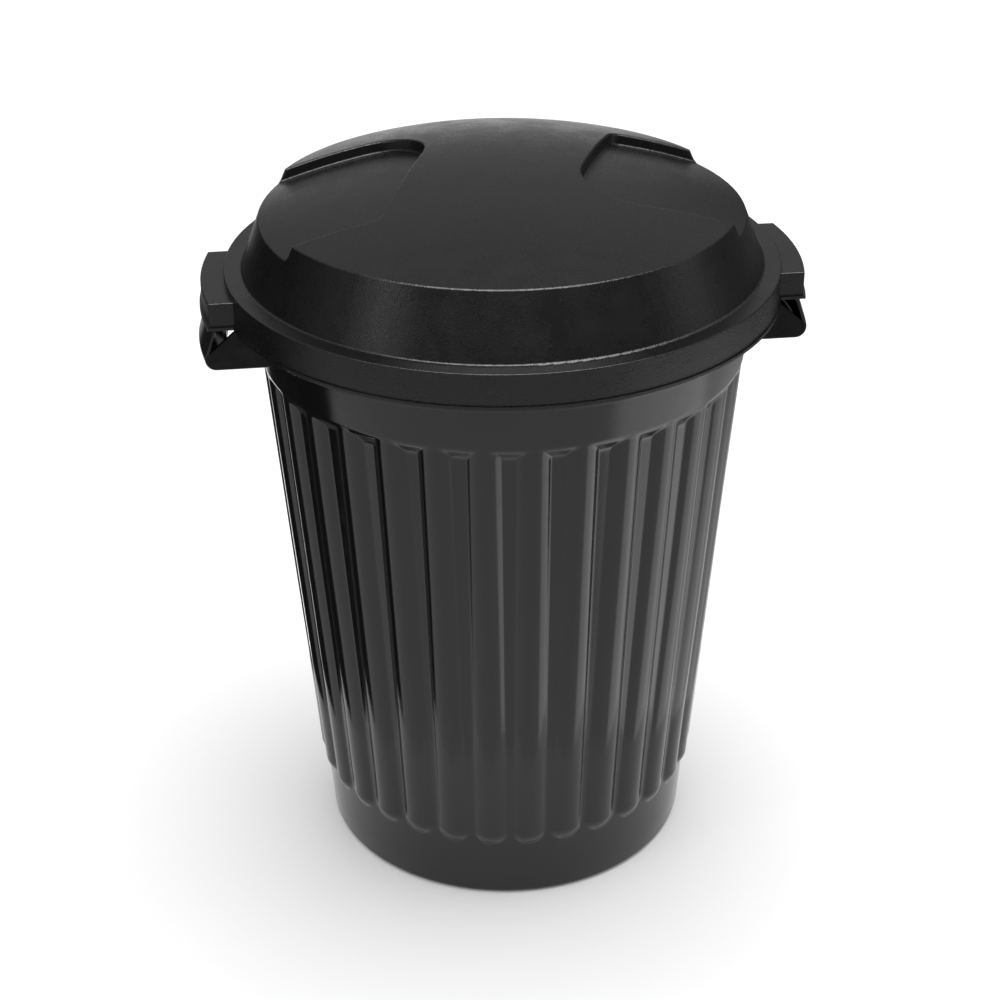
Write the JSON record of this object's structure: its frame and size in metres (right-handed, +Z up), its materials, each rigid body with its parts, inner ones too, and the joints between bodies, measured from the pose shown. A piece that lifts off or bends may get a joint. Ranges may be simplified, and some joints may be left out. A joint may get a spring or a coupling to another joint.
{
  "type": "trash can",
  "caption": "Round black plastic trash can with ribbed tapering sides, moulded side handles and a domed lift-off lid with two grip pockets, for outdoor household refuse.",
  "frame": {"origin": "centre of the can's foot, on the surface it stands on", "axes": "+Z up along the can's centre line, X through both handles, -Y to the front"},
  "size_m": [0.505, 0.46, 0.6255],
  "materials": {
    "can_plastic": "black moulded polypropylene, semi-gloss and nearly smooth",
    "lid_plastic": "black moulded polypropylene with a fine satin grain"
  },
  "bodies": {
    "can": {"can": "can_plastic"},
    "lid": {"lid": "lid_plastic"}
  },
  "joints": [
    {"name": "lid_lift", "type": "slide", "parent": "can", "child": "lid", "axis": [0, 0, 1], "range_m": [0, 0.2]}
  ]
}
